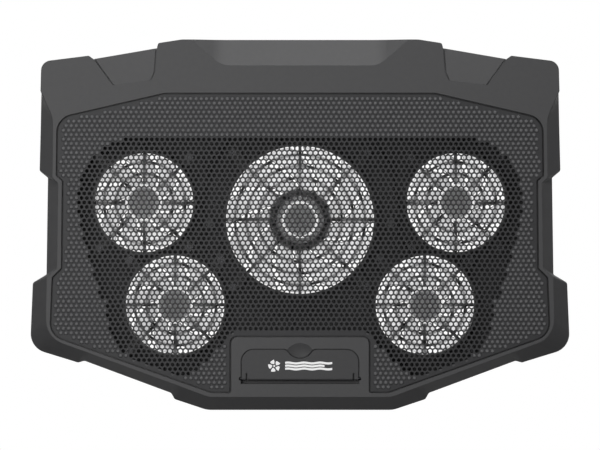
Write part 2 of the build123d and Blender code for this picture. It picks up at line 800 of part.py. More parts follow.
def potentiometer():
    """Rotary control on the board, with the bore that the dial's stem turns in."""
    low = board_level + board_thickness
    face, half = board_back(), pot_width / 2
    body = block(dial_x - half, dial_x + half, face - pot_depth, face, low, low + pot_height)
    return body - Pos(dial_x, face, dial_level()) * Rot(90, 0, 0) * Cylinder(
        dial_stem_radius + dial_bearing_gap, 2 * (pot_depth - pot_back))


def speed_dial():
    """Knurled knob in the panel's dish, on a stem that reaches into the potentiometer."""
    face = rear_y - panel_depth + panel_back + dial_gap
    knob = Circle(dial_radius)
    for i in range(dial_flutes):
        knob -= Rot(0, 0, (i + 0.5) * 360 / dial_flutes) * Pos(dial_radius + 0.2, 0) * Circle(0.55)
    knob -= Pos(0, dial_radius - 1.2) * Rectangle(0.8, 1.8)
    stem_length = panel_back + board_gap + pot_depth - pot_back - dial_gap
    dial = extrude(knob, amount=dial_length) + pillar(0, 0, dial_stem_radius, -stem_length, 0.5)
    return Pos(dial_x, face, dial_level()) * Rot(-90, 0, 0) * dial


def power_button():
    """Push button that slides through the panel onto the switch."""
    inner = board_back() - button_reach
    outer = rear_y - panel_depth + panel_back + button_stand
    level = dial_level()
    button = block(button_x - button_width / 2, button_x + button_width / 2, inner, outer,
                   level - button_height / 2, level + button_height / 2)
    return fillet(button.edges().group_by(Axis.Y)[-1], 0.6)


def power_switch():
    """Push switch on the board, a button's travel behind the button."""
    low = board_level + board_thickness
    face = board_back() - button_reach - button_travel - switch_gap
    return block(button_x - switch_size / 2, button_x + switch_size / 2, face - switch_size, face, low,
                 low + switch_height)


def rubber_feet():
    """Round pads in shallow seats under the tray."""
    feet = []
    for x, y in FEET:
        foot = pillar(x, y, foot_radius, 0, foot_stand + foot_seat)
        feet.append(chamfer(foot.edges().group_by(Axis.Z)[0], 0.5))
    return feet


def screw(x, y, seat, length, up):
    """Cross-head screw; up says which way its shank points from the seat."""
    low, high = (seat, seat + length) if up else (seat - length, seat)
    head_low = seat - screw_head_height if up else seat
    body = pillar(x, y, screw_radius, low, high) + pillar(x, y, screw_head_radius, head_low,
                                                          head_low + screw_head_height)
    face = head_low if up else head_low + screw_head_height
    for sx, sy in ((3.2, 0.8), (0.8, 3.2)):
        body -= Pos(x, y, face) * Box(sx, sy, 1.8)
    return body


def fan_screws():
    """Screws through every fan lug into the standoffs."""
    seat = fan_bottom + lug_thickness
    return [screw(x, y, seat, fan_screw_length, False) for name in FANS for x, y in fan_holes(name)]


def case_screws():
    """Screws up through the tray into the top cover."""
    seat = floor_level + case_screw_seat
    return [screw(x, y, seat, case_screw_length, True) for x, y in CASE_SCREWS]


def lead_routes():
    """Where each fan's lead runs, from its frame to its plug on the control board."""
    end = board_back() - board_depth - 0.5
    start = fan_ring_wall + 0.4
    rear_top = rear_fan_y + small_bore + start
    front_top = front_fan_y + small_bore + start
    corridor = 77.4
    routes = {"centre": [(0, centre_fan_y + large_bore + start), (1.5, 75), (0, 90), (0, end)]}
    for word, sign in (("left", -1), ("right", 1)):
        routes["rear_" + word] = [
            (sign * rear_fan_x, rear_top), (sign * rear_fan_x, rear_top + 10), (sign * 96, 78),
            (sign * 58, 90), (sign * 28, 91), (sign * 20, end - 10), (sign * 20, end)]
        routes["front_" + word] = [
            (sign * (front_fan_x - 12), front_top - 1), (sign * (front_fan_x - 16), front_top + 5),
            (sign * corridor, -10), (sign * corridor, 16), (sign * 70, 48), (sign * 50, 74), (sign * 18, 83),
            (sign * 10, end - 12), (sign * 10, end)]
    return routes


def make_lead(points):
    """One lead: a tube of straight runs joined by arcs."""
    path = FilletPolyline(*[(x, y, lead_level) for x, y in points], radius=lead_bend)
    return sweep(Plane(origin=path @ 0, z_dir=path % 0) * Circle(lead_radius), path=path)


def make_plug(points):
    """Plug at a lead's end, over the board's front edge."""
    x, y = points[-1]
    return block(x - plug_half_width, x + plug_half_width, y + plug_gap, y + plug_length,
                 board_level + board_thickness, lead_level + plug_top)


def write(name, shape):
    """Write one node's solids."""
    solids = shape if isinstance(shape, list) else [shape]
    solids = [solid for item in solids for solid in item.solids()]
    export_step(solids[0] if len(solids) == 1 else Compound(children=solids), f"parts/{name}.step")
    print(name, len(solids), "solids", round(sum(s.volume for s in solids)), "mm3", flush=True)


os.makedirs("parts", exist_ok=True)
write("top_cover", make_top_cover())
write("bottom_cover", make_bottom_cover())
write("mesh_panel", make_sheet())
write("stop_flap", make_stop_flap())
write("stop_flap_pins", flap_pins(0))
for word, sign in (("left", -1), ("right", 1)):
    write(f"leg_{word}", make_leg(sign))
    write(f"leg_tip_{word}", make_leg_tip(sign))
write("leg_pins", leg_pins(0))
for fan, (fan_x, fan_y, is_large, gap_phase) in FANS.items():
    at = Pos(fan_x, fan_y, fan_bottom)
    write(f"{fan}_fan_frame", make_frame(fan))
    write(f"{fan}_fan_bearing", at * make_bearing())
    write(f"{fan}_fan_stator", at * make_stator())
    write(f"{fan}_fan_impeller", at * make_impeller(is_large, gap_phase))
    write(f"{fan}_fan_yoke", at * make_yoke())
    write(f"{fan}_fan_magnet", at * make_magnet())
    write(f"{fan}_fan_shaft", at * make_shaft())
write("control_panel", control_panel())
write("control_board", control_board())
write("usb_sockets", usb_sockets())
write("speed_potentiometer", potentiometer())
write("speed_dial", speed_dial())
write("power_switch", power_switch())
write("power_button", power_button())
write("rubber_feet", rubber_feet())
write("case_screws", case_screws())
write("fan_screws", fan_screws())
routes = lead_routes()
write("fan_leads", [make_lead(points) for points in routes.values()])
write("fan_plugs", [make_plug(points) for points in routes.values()])
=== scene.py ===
"""Laptop cooling pad: punched grille, fan rotors, the mark on the laptop stop, every finish and the stage.

The fixed frame holds every body and joint. Two pieces replace the plain grille sheet, one piece replaces each
plain impeller, the mark is new, and all other nodes keep their shape and get a finish.
"""
from math import cos, pi, radians, sin, sqrt

import bpy
import numpy as np
from bpy.props import FloatProperty, FloatVectorProperty, IntProperty, PointerProperty
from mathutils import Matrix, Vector
from mathutils.geometry import delaunay_2d_cdt


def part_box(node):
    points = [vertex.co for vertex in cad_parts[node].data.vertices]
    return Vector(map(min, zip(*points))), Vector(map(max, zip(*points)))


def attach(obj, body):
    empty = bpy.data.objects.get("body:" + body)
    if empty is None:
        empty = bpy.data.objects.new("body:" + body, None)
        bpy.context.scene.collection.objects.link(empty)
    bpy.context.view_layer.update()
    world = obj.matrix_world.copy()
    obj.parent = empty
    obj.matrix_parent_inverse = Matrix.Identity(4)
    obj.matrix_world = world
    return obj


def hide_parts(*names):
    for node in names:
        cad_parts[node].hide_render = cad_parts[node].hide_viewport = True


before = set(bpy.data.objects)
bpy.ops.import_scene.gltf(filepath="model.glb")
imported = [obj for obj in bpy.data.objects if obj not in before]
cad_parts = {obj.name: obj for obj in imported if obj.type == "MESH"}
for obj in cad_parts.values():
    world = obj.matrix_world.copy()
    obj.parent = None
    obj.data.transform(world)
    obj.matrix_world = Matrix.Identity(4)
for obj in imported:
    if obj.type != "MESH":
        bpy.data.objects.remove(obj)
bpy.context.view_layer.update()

bl_info = {
    "name": "Laptop cooling pad",
    "version": (1, 0, 0),
    "blender": (4, 5, 0),
    "location": "3D View > Sidebar > Pad",
    "description": "Builds the grille, rotors and finishes of a laptop cooling pad round its fixed frame",
    "category": "Object",
}

MM = 0.001
SHEET_LOW, SHEET_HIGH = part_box("mesh_panel")
FANS = ("centre", "rear_left", "rear_right", "front_left", "front_right")
# The point that the lights look at.
PAD_MIDDLE = Vector((0, 0, 0.03))

# Where the punched field's side leaves a rear disc and reaches a front disc, in that disc's radii from its
# centre.
REAR_FLANK = (0.948, -0.39)
FRONT_FLANK = (1.05, 0.09)
# Corners of the punched field beside the tongue, and where it meets the field's front edge, in metres.
TONGUE_OUTER = (71 * MM, -104.6 * MM)
TONGUE_INNER = (59.6 * MM, -90.9 * MM)
TONGUE_FRONT = 55.7 * MM

# A dimple's shoulder: its place from the top's width to the base's, and its share of the dimple's height.
SHOULDER_REACH = 0.35
SHOULDER_RISE = 0.78
# Share of the dimples' height over which no painted highlight is laid.
UNHIGHLIGHTED = 0.15
# Half depth and half length of the lattice that the sheet's cells are taken from, in metres.
LATTICE_DEPTH, LATTICE_LENGTH = 0.16, 0.22

# Each rotor's turn at rest in degrees, the radius in millimetres at which it is taken, and its blades' sweep in
# degrees per millimetre.
ROTOR_TURNS = {
    "centre": (22.0, 51.3, 1.0), "rear_left": (34.0, 32.0, 1.34), "rear_right": (3.0, 32.0, 1.34),
    "front_left": (35.0, 32.0, 1.34), "front_right": (35.0, 32.0, 1.34)}
# Share of a blade's span over which its root lightens.
ROOT_SHARE = 0.36
# A blade's drawn-in tip in shares of the blade pitch, its camber in shares of its height, and its rise at the
# root.
TIP_ROUNDING = 0.12
CAMBER = 0.10
ROOT_RISE = 0.94
# A hub cup: its clearance from the steel yoke, its wall, the foot of its lip, its recessed top and its soft
# corners.
HUB_GAP = 0.02 * MM
HUB_WALL = 1.9 * MM
LIP_FOOT = 0.3 * MM
TOP_RECESS = 0.5 * MM
CORNER = 0.2 * MM
# The flange round the large rotor's cup: its radius, its wall, how far it starts over the cup's foot, and the
# levels of its sloping top and underside below the cup's top, at the flange and at the cup.
FLANGE = 18.6 * MM
FLANGE_WALL = 1.4 * MM
FLANGE_FOOT = 2 * MM
FLANGE_TOP = (3.2 * MM, 2.2 * MM)
FLANGE_UNDER = (4.6 * MM, 3.6 * MM)
# How far a blade's root reaches into the flange.
ROOT_OVERLAP = 0.3 * MM
# A profile's least radius, a blade's lowest level over the rotor's foot, and its highest below the rotor's top.
AXIS = 0.01 * MM
BLADE_FOOT = 0.4 * MM
LARGE_BLADE_DROP = 0.9 * MM
SMALL_BLADE_DROP = 1.4 * MM
# The printed mark: how far its middle lies in front of the flap's middle, and how far its ink sinks in and
# stands up.
MARK_DROP = 0.6 * MM
INK_SUNK, INK_PROUD = 0.01 * MM, 0.04 * MM
# Its wheel: where it is, its leaves, the turn of the first one, their length and start, and the hub's radius.
WHEEL_X = -20 * MM
LEAVES, FIRST_LEAF = 5, 0.4
LEAF_LENGTH, LEAF_START, WHEEL_HUB = 3.6 * MM, 1.4 * MM, 0.75 * MM
# Its lines of air, in millimetres from the middle: where they start and end, and the length of a wave.
LINE_START, LINE_ENDS, WAVE_LENGTH = -11.5, (25.0, 19.0, 25.0), 12.5
WAVE_HEIGHT, LINE_STEP, LINE_HALF = 0.35 * MM, 2.3 * MM, 0.8 * MM
# Turn between two faces of a rotor past which the edge between them stays sharp, in degrees.
SHARP = 38
# Material indices of a rotor's mesh; rims carry painted shade, the hub's shoulder a painted highlight.
SKIN, SHADED_EDGE, HUB_HIGHLIGHT, CUP = range(4)


def fan_centre(fan):
    """X and Y of a fan's axis, in metres, from its shaft."""
    low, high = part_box(f"{fan}_fan_shaft")
    return (low.x + high.x) / 2, (low.y + high.y) / 2


class PadGrilleSettings(bpy.types.PropertyGroup):
    pitch: FloatProperty(
        name="Pitch", description="Distance between neighbouring holes in a row", default=4.04 * MM,
        unit="LENGTH")
    hole: FloatProperty(
        name="Hole", description="Width of a hexagonal hole across its flats", default=2.8 * MM,
        unit="LENGTH")
    dimple_base: FloatProperty(
        name="Dimple base", description="Width of a dimple across its flats", default=3.3 * MM, unit="LENGTH")
    dimple_top: FloatProperty(
        name="Dimple top", description="Width of a dimple's flat top", default=1.2 * MM, unit="LENGTH")
    dimple_height: FloatProperty(
        name="Dimple height", description="Height of a dimple over the sheet", default=0.65 * MM,
        unit="LENGTH")
    # colour of the painted highlight laid on the dimples' tops
    highlighted: FloatVectorProperty(
        name="Highlighted", description="Colour of the dimples' rubbed tops", default=(0.19, 0.19, 0.195), size=3,
        subtype="COLOR")
    margin: FloatProperty(
        name="Margin", description="Plain margin along the sheet's edge", default=2.3 * MM, unit="LENGTH")
    field_top: FloatProperty(
        name="Field top", description="Rear edge of the punched field", default=68.3 * MM, unit="LENGTH")
    field_bottom: FloatProperty(
        name="Field bottom", description="Front edge of the punched field", default=-85.2 * MM, unit="LENGTH")
    rear_reach: FloatProperty(
        name="Rear reach", description="Radius of the punched field round a rear fan", default=51.5 * MM,
        unit="LENGTH")
    front_reach: FloatProperty(
        name="Front reach", description="Radius of the punched field round a front fan", default=53.5 * MM,
        unit="LENGTH")
    tongue_reach: FloatProperty(
        name="Tongue reach", description="Half width of the stretch that the front discs spare at the tongue",
        default=86 * MM, unit="LENGTH")


class PadRotorSettings(bpy.types.PropertyGroup):
    large_blades: IntProperty(name="Large blades", description="Blades of the centre rotor", default=11)
    small_blades: IntProperty(name="Small blades", description="Blades of each outer rotor", default=9)
    thickness: FloatProperty(
        name="Thickness", description="Thickness of a blade", default=1.1 * MM, unit="LENGTH")
    root_gap: FloatProperty(
        name="Root gap", description="Gap between two blades at their roots", default=2.6 * MM, unit="LENGTH")
    tip_gap: FloatProperty(
        name="Tip gap", description="Gap between two blades at their tips", default=6.6 * MM, unit="LENGTH")
    milk: FloatVectorProperty(
        name="Milk", description="Colour of the translucent blades", default=(0.85, 0.85, 0.86), size=3,
        subtype="COLOR")
    cup: FloatVectorProperty(
        name="Cup", description="Colour of the hub cups", default=(0.98, 0.98, 0.99), size=3, subtype="COLOR")


class PadFinishSettings(bpy.types.PropertyGroup):
    shell: FloatVectorProperty(
        name="Shell", description="Colour of the top cover", default=(0.072, 0.072, 0.075), size=3,
        subtype="COLOR")
    tray: FloatVectorProperty(
        name="Tray", description="Colour of the bottom cover", default=(0.030, 0.030, 0.032), size=3,
        subtype="COLOR")
    grille: FloatVectorProperty(
        name="Grille", description="Colour of the coated sheet", default=(0.055, 0.055, 0.058), size=3,
        subtype="COLOR")
    flap: FloatVectorProperty(
        name="Flap", description="Colour of the laptop stop", default=(0.047, 0.047, 0.050), size=3,
        subtype="COLOR")


class PadStageSettings(bpy.types.PropertyGroup):
    view_width: FloatProperty(
        name="View width", description="Width seen at the deck's level", default=466 * MM, unit="LENGTH")
    camera_height: FloatProperty(
        name="Camera height", description="Height of the camera over the deck", default=2.6, unit="LENGTH")


# ---------------------------------------------------------------- shared shader groups

def new_group(name, inputs, outputs):
    """A shader node group with its sockets, as (name, type, default) for the inputs."""
    group = bpy.data.node_groups.new(name, "ShaderNodeTree")
    for label, kind, default in inputs:
        socket = group.interface.new_socket(name=label, in_out="INPUT", socket_type=kind)
        socket.default_value = default
    for label, kind in outputs:
        group.interface.new_socket(name=label, in_out="OUTPUT", socket_type=kind)
    return group, group.nodes.new("NodeGroupInput"), group.nodes.new("NodeGroupOutput")


def node(tree, kind, **values):
    """A node with its properties set."""
    made = tree.nodes.new(kind)
    for key, value in values.items():
        setattr(made, key, value)
    return made


def grain_group():
    """Moulded grain: a fine leather-like texture with slow changes of tone and gloss."""
    group, start, end = new_group(
        "pad_grain",
        [("Colour", "NodeSocketColor", (0.1, 0.1, 0.1, 1)), ("Roughness", "NodeSocketFloat", 0.55),
         ("Grain size", "NodeSocketFloat", 0.9), ("Grain depth", "NodeSocketFloat", 0.2),
         ("Tone change", "NodeSocketFloat", 0.08)],
        [("Colour", "NodeSocketColor"), ("Roughness", "NodeSocketFloat"), ("Normal", "NodeSocketVector")])
    links = group.links
    where = node(group, "ShaderNodeTexCoord")
    per_metre = node(group, "ShaderNodeMath", operation="DIVIDE")
    per_metre.inputs[0].default_value = 1000.0
    links.new(start.outputs["Grain size"], per_metre.inputs[1])
    cells = node(group, "ShaderNodeTexVoronoi", feature="SMOOTH_F1")
    links.new(where.outputs["Object"], cells.inputs["Vector"])
    links.new(per_metre.outputs[0], cells.inputs["Scale"])
    cloud = node(group, "ShaderNodeTexNoise")
    cloud.inputs["Scale"].default_value = 22.0
    cloud.inputs["Detail"].default_value = 4.0
    links.new(where.outputs["Object"], cloud.inputs["Vector"])
    speck = node(group, "ShaderNodeTexNoise")
    speck.inputs["Scale"].default_value = 900.0
    links.new(where.outputs["Object"], speck.inputs["Vector"])
    both = node(group, "ShaderNodeMath", operation="ADD")
    links.new(cloud.outputs["Fac"], both.inputs[0])
    links.new(speck.outputs["Fac"], both.inputs[1])
    centred = node(group, "ShaderNodeMath", operation="SUBTRACT")
    links.new(both.outputs[0], centred.inputs[0])
    centred.inputs[1].default_value = 1.0
    swing = node(group, "ShaderNodeMath", operation="MULTIPLY")
    links.new(centred.outputs[0], swing.inputs[0])
    links.new(start.outputs["Tone change"], swing.inputs[1])
    gain = node(group, "ShaderNodeMath", operation="ADD")
    links.new(swing.outputs[0], gain.inputs[0])
    gain.inputs[1].default_value = 1.0
    tint = node(group, "ShaderNodeVectorMath", operation="SCALE")
    links.new(start.outputs["Colour"], tint.inputs[0])
    links.new(gain.outputs[0], tint.inputs["Scale"])
    links.new(tint.outputs[0], end.inputs["Colour"])
    rough = node(group, "ShaderNodeMath", operation="MULTIPLY")
    links.new(start.outputs["Roughness"], rough.inputs[0])
    links.new(gain.outputs[0], rough.inputs[1])
    links.new(rough.outputs[0], end.inputs["Roughness"])
    bump = node(group, "ShaderNodeBump")
    bump.inputs["Distance"].default_value = 0.05 * MM
    links.new(start.outputs["Grain depth"], bump.inputs["Strength"])
    links.new(cells.outputs["Distance"], bump.inputs["Height"])
    links.new(bump.outputs[0], end.inputs["Normal"])
    return group


def dust_group():
    """A thin veil of dust: a mask that is stronger on upward faces and broken up by noise."""
    group, start, end = new_group(
        "pad_dust",
        [("Colour", "NodeSocketColor", (0.1, 0.1, 0.1, 1)), ("Amount", "NodeSocketFloat", 0.05)],
        [("Colour", "NodeSocketColor")])
    links = group.links
    where = node(group, "ShaderNodeTexCoord")
    specks = node(group, "ShaderNodeTexNoise")
    specks.inputs["Scale"].default_value = 260.0
    specks.inputs["Detail"].default_value = 6.0
    links.new(where.outputs["Object"], specks.inputs["Vector"])
    facing = node(group, "ShaderNodeSeparateXYZ")
    surface = node(group, "ShaderNodeNewGeometry")
    links.new(surface.outputs["Normal"], facing.inputs[0])
    up = node(group, "ShaderNodeMath", operation="MAXIMUM")
    links.new(facing.outputs["Z"], up.inputs[0])
    up.inputs[1].default_value = 0.0
    mask = node(group, "ShaderNodeMath", operation="MULTIPLY")
    links.new(specks.outputs["Fac"], mask.inputs[0])
    links.new(up.outputs[0], mask.inputs[1])
    amount = node(group, "ShaderNodeMath", operation="MULTIPLY")
    links.new(mask.outputs[0], amount.inputs[0])
    links.new(start.outputs["Amount"], amount.inputs[1])
    mix = node(group, "ShaderNodeMix", data_type="RGBA")
    mix.inputs["B"].default_value = (0.42, 0.41, 0.40, 1)
    links.new(amount.outputs[0], mix.inputs["Factor"])
    links.new(start.outputs["Colour"], mix.inputs["A"])
    links.new(mix.outputs["Result"], end.inputs["Colour"])
    return group


def shared(name, maker):
    """The shared group of that name: its maker runs the first time that it is asked for."""
    return bpy.data.node_groups.get(name) or maker()


def blank_material(name):
    """A material that has its Principled shader and output only."""
    material = bpy.data.materials.new(name)
    material.use_nodes = True
    tree = material.node_tree
    return material, tree, tree.nodes["Principled BSDF"]


def plastic(name, colour, roughness=0.55, grain_size=0.9, grain_depth=0.2, tone=0.08, dust=0.04, coat=0.0,
            gloss=0.75):
    """Moulded or coated surface: grain, a little dust and its own gloss.

    The grain size is in millimetres. The grain depth, the change of tone and the dust are shares from 0 to 1.
    """
    material, tree, shader = blank_material(name)
    grain = node(tree, "ShaderNodeGroup", node_tree=shared("pad_grain", grain_group))
    grain.inputs["Colour"].default_value = (*colour, 1)
    grain.inputs["Roughness"].default_value = roughness
    grain.inputs["Grain size"].default_value = grain_size
    grain.inputs["Grain depth"].default_value = grain_depth
    grain.inputs["Tone change"].default_value = tone
    veil = node(tree, "ShaderNodeGroup", node_tree=shared("pad_dust", dust_group))
    veil.inputs["Amount"].default_value = dust
    tree.links.new(grain.outputs["Colour"], veil.inputs["Colour"])
    tree.links.new(veil.outputs["Colour"], shader.inputs["Base Color"])
    tree.links.new(grain.outputs["Roughness"], shader.inputs["Roughness"])
    tree.links.new(grain.outputs["Normal"], shader.inputs["Normal"])
    shader.inputs["Coat Weight"].default_value = coat
    shader.inputs["Specular IOR Level"].default_value = gloss
    return material


def metal(name, colour, roughness, grain_size=0.25, tone=0.12):
    """Turned or rolled metal: a fine shallow grain over a metallic base, with no dust."""
    material = plastic(name, colour, roughness, grain_size, grain_depth=0.12, tone=tone, dust=0.0)
    material.node_tree.nodes["Principled BSDF"].inputs["Metallic"].default_value = 1.0
    return material


def milky(name, colour, clear, roughness, root=1.0):
    """Translucent milky plastic: light passes and spreads, and the rest is scattered back.

    The piece's "span" attribute runs from 0 at a blade's root to 1 at its tip. The thick root lets less light
    through: its colour is scaled by root there, and by 1 from about a third of the span on.
    """
    material = plastic(name, colour, roughness, grain_size=1.6, grain_depth=0.06, tone=0.7, dust=0.0)
    tree = material.node_tree
    shader = tree.nodes["Principled BSDF"]
    span = node(tree, "ShaderNodeAttribute", attribute_name="span")
    share = node(tree, "ShaderNodeMapRange")
    share.inputs["From Max"].default_value = ROOT_SHARE
    share.inputs["To Min"].default_value = root
    tree.links.new(span.outputs["Fac"], share.inputs["Value"])
    shade = node(tree, "ShaderNodeVectorMath", operation="SCALE")
    tree.links.new(shader.inputs["Base Color"].links[0].from_socket, shade.inputs[0])
    tree.links.new(share.outputs["Result"], shade.inputs["Scale"])
    tree.links.new(shade.outputs[0], shader.inputs["Base Color"])
    shader.inputs["Transmission Weight"].default_value = clear
    shader.inputs["IOR"].default_value = 1.12
    return material


def painted_glow(material, strength):
    """The same material with a little white light of its own: a painted glow, though the piece is no lamp."""
    shader = material.node_tree.nodes["Principled BSDF"]
    shader.inputs["Emission Color"].default_value = (1, 1, 1, 1)
    shader.inputs["Emission Strength"].default_value = strength
    return material


# ---------------------------------------------------------------- meshes

def add_piece(name, points, faces, materials, body, smooth_angle=None, face_material=None):
    """A finished piece: its mesh from points and faces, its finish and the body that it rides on."""
    mesh = bpy.data.meshes.new(name)
    mesh.from_pydata(np.asarray(points).tolist(), [], faces)
    for material in materials:
        mesh.materials.append(material)
    if face_material is not None:
        mesh.polygons.foreach_set("material_index", np.asarray(face_material, np.int32))
    if smooth_angle is not None:
        mesh.polygons.foreach_set("use_smooth", np.ones(len(mesh.polygons), bool))
        mesh.update()
        mesh.set_sharp_from_angle(angle=smooth_angle)
    mesh.update()
    piece = bpy.data.objects.new(name, mesh)
    bpy.context.scene.collection.objects.link(piece)
    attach(piece, body)
    return piece


def welded(points, faces, step=1e-6):
    """Points that lie within a micrometre of each other become one, and the faces follow."""
    keys = np.round(np.asarray(points) / step).astype(np.int64)
    _, first, back = np.unique(keys, axis=0, return_index=True, return_inverse=True)
    back = back.ravel()
    return np.asarray(points)[first], [back[np.asarray(block)] for block in faces]


def upward(points, triangles, least=None):
    """The same triangles, all facing up, and where a least is given, only those with a larger doubled area.

    The cross product of two sides in X and Y is the doubled area, and its sign tells which way it faces.
    """
    a, b, c = (points[triangles[:, k]] for k in range(3))
    turn = (b - a)[:, 0] * (c - a)[:, 1] - (b - a)[:, 1] * (c - a)[:, 0]
    if least is not None:
        kept = np.abs(turn) > least
        triangles, turn = triangles[kept], turn[kept]
    triangles[turn < 0] = triangles[turn < 0][:, ::-1]
    return triangles


def loop_of(edges):
    """The vertices of one closed loop of edges, in order."""
    following = {int(a): int(b) for a, b in edges}
    at = next(iter(following))
    order = []
    for _ in range(len(following)):
        order.append(at)
        at = following[at]
    return order


def sheet_outline():
    """The grille sheet's outline, anticlockwise, from the upper face of its CAD node."""
    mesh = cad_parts["mesh_panel"].data
    points = np.zeros(len(mesh.vertices) * 3)
    mesh.vertices.foreach_get("co", points)
    points = points.reshape(-1, 3)
    mesh.calc_loop_triangles()
    corners = np.zeros(len(mesh.loop_triangles) * 3, np.int32)
    mesh.loop_triangles.foreach_get("vertices", corners)
    points, (triangles,) = welded(points, [corners.reshape(-1, 3)])
    flat = np.all(points[triangles][:, :, 2] > SHEET_HIGH.z - 1e-5, axis=1)
    triangles = upward(points, triangles[flat], 1e-14)
    edges = np.vstack([triangles[:, [0, 1]], triangles[:, [1, 2]], triangles[:, [2, 0]]])
    known = {(int(p), int(q)) for p, q in edges}
    return points[loop_of([(p, q) for p, q in known if (q, p) not in known])][:, :2]


def inside(points, ring):
    """Which points lie in a closed ring: a ray to the right crosses its edges an odd number of times."""
    x, y = points[:, 0][:, None], points[:, 1][:, None]
    x0, y0 = ring[:, 0], ring[:, 1]
    x1, y1 = np.roll(x0, -1), np.roll(y0, -1)
    spans = (y0 > y) != (y1 > y)
    with np.errstate(divide="ignore", invalid="ignore"):
        cross = x < x0 + (y - y0) * (x1 - x0) / (y1 - y0)
    return (spans & cross).sum(1) % 2 == 1


def edge_distance(points, ring):
    """Distance from each point to the nearest edge of a closed ring."""
    start, step = ring, np.roll(ring, -1, axis=0) - ring
    share = ((points[:, None] - start) * step).sum(2) / (step * step).sum(1)
    near = start + np.clip(share, 0, 1)[..., None] * step
    return np.sqrt(((points[:, None] - near) ** 2).sum(2)).min(1)


def field_mask(points, settings):
    """Which lattice points are punched: a polygon between the fans, and the outward part of a disc round each
    outer fan. The polygon's right half is mirrored to the left.
    """
    rear_x, rear_y = fan_centre("rear_right")
    front_x, front_y = fan_centre("front_right")
    low_corner = front_y - settings.front_reach
    half = np.array([
        (0, settings.field_top), (rear_x, settings.field_top), (rear_x, rear_y),
        (rear_x + REAR_FLANK[0] * settings.rear_reach, rear_y + REAR_FLANK[1] * settings.rear_reach),
        (front_x + FRONT_FLANK[0] * settings.front_reach, front_y + FRONT_FLANK[1] * settings.front_reach),
        (front_x, front_y), (front_x, low_corner), (settings.tongue_reach, low_corner), TONGUE_OUTER,
        TONGUE_INNER, (TONGUE_FRONT, settings.field_bottom), (0, settings.field_bottom)])
    ring = np.vstack([half, half[::-1] * (-1, 1)])
    mask = inside(points, ring)
    for fan in FANS[1:]:
        rear = "rear" in fan
        disc = np.hypot(*(points - fan_centre(fan)).T) < (settings.rear_reach if rear else settings.front_reach)
        mask |= disc & (np.abs(points[:, 0]) > (rear_x if rear else settings.tongue_reach))
    return mask & (points[:, 1] < settings.field_top + 1e-6)


def hexagon(radius):
    """Six corners of a hexagon with a corner at the top."""
    angle = radians(30) + np.arange(6) * pi / 3
    return np.stack([radius * np.cos(angle), radius * np.sin(angle)], 1)


def stacked_cells(centres, rings):
    """Corners of nested hexagons round every centre; a ring is (radius, level)."""
    layers = []
    for radius, level in rings:
        corners = centres[:, None] + hexagon(radius)
        layers.append(np.concatenate([corners, np.full((*corners.shape[:2], 1), level)], 2))
    return np.stack(layers, 1).reshape(-1, 3)


def ring_quads(count, layers, lower, upper):
    """Quads between two layers of every cell's nested hexagons."""
    base = (np.arange(count) * layers * 6)[:, None]
    i = np.arange(6)
    j = (i + 1) % 6
    return np.stack([base + lower * 6 + i, base + lower * 6 + j, base + upper * 6 + j, base + upper * 6 + i],
                    2).reshape(-1, 4)


def cell_keys(points, pitch):
    """Whole numbers that name each lattice point: its place in quarters of the pitch."""
    return np.round(points / (pitch / 4)).astype(int)


def cell_rim(centres, keep, pitch):
    """Corner pairs on the outside of a group of cells: the sides whose neighbour isn't in the group."""
    angle = np.arange(6) * pi / 3
    neighbours = centres[:, None] + pitch * np.stack([np.cos(angle), np.sin(angle)], 1)
    key = {tuple(k) for k in cell_keys(centres[keep], pitch).tolist()}
    found = cell_keys(neighbours, pitch)
    corners = hexagon(pitch / sqrt(3))
    rim = []
    for n in np.nonzero(keep)[0]:
        for side in range(6):
            if tuple(found[n, side].tolist()) not in key:
                rim.append((centres[n] + corners[(side - 1) % 6], centres[n] + corners[side]))
    return np.array(rim)


def at_level(flat, level):
    """Points of a plan lifted to one level."""
    return np.concatenate([flat, np.full((len(flat), 1), level)], 1)


def walls(rim, low, high):
    """Upright quads along directed corner pairs, facing away from the left-hand side."""
    a, b = rim[:, 0], rim[:, 1]
    corners = [at_level(a, low), at_level(b, low), at_level(b, high), at_level(a, high)]
    points = np.stack(corners, 1).reshape(-1, 3)
    return points, np.arange(len(points)).reshape(-1, 4)


